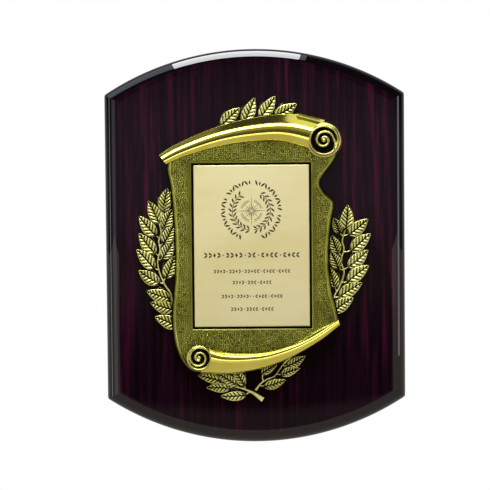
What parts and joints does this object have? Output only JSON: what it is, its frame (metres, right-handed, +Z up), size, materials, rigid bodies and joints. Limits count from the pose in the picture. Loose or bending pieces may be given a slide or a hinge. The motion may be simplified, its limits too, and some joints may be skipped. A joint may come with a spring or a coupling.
{
  "type": "wall plaque",
  "caption": "Arched wooden wall plaque with a cast scroll panel, laurel branches, a bevelled plate and a keyhole hanger in its back.",
  "frame": {"origin": "middle of the board's flat back face, which lies against the wall", "axes": "+Z up the plaque as it hangs, +Y out of the back face towards the wall, -Y the way the plaque faces, +X to the right as seen from the front"},
  "size_m": [0.2414, 0.034, 0.3174],
  "materials": {
    "rosewood": "high gloss clear coat over dark red-brown grain",
    "antique_brass": "antiqued, pebbled, bright on the high spots",
    "polished_brass": "polished",
    "satin_gold": "satin, with dark engraving",
    "adhesive": "black foam sheet",
    "zinc_steel": "zinc plated"
  },
  "bodies": {
    "root": {"backing_board": "rosewood", "laurel_branch_left": "antique_brass", "laurel_branch_right": "antique_brass", "scroll_panel": "antique_brass", "upper_scroll_roll": "polished_brass", "lower_scroll_roll": "polished_brass", "plate_adhesive": "adhesive", "engraved_plate": "satin_gold", "roll_screw_1": "zinc_steel", "roll_screw_2": "zinc_steel", "roll_screw_3": "zinc_steel", "roll_screw_4": "zinc_steel", "casting_washer_1": "zinc_steel", "casting_washer_2": "zinc_steel", "casting_washer_3": "zinc_steel", "casting_washer_4": "zinc_steel", "casting_screw_1": "zinc_steel", "casting_screw_2": "zinc_steel", "casting_screw_3": "zinc_steel", "casting_screw_4": "zinc_steel", "hanger_plate": "zinc_steel", "hanger_screw_1": "zinc_steel", "hanger_screw_2": "zinc_steel"}
  },
  "joints": []
}
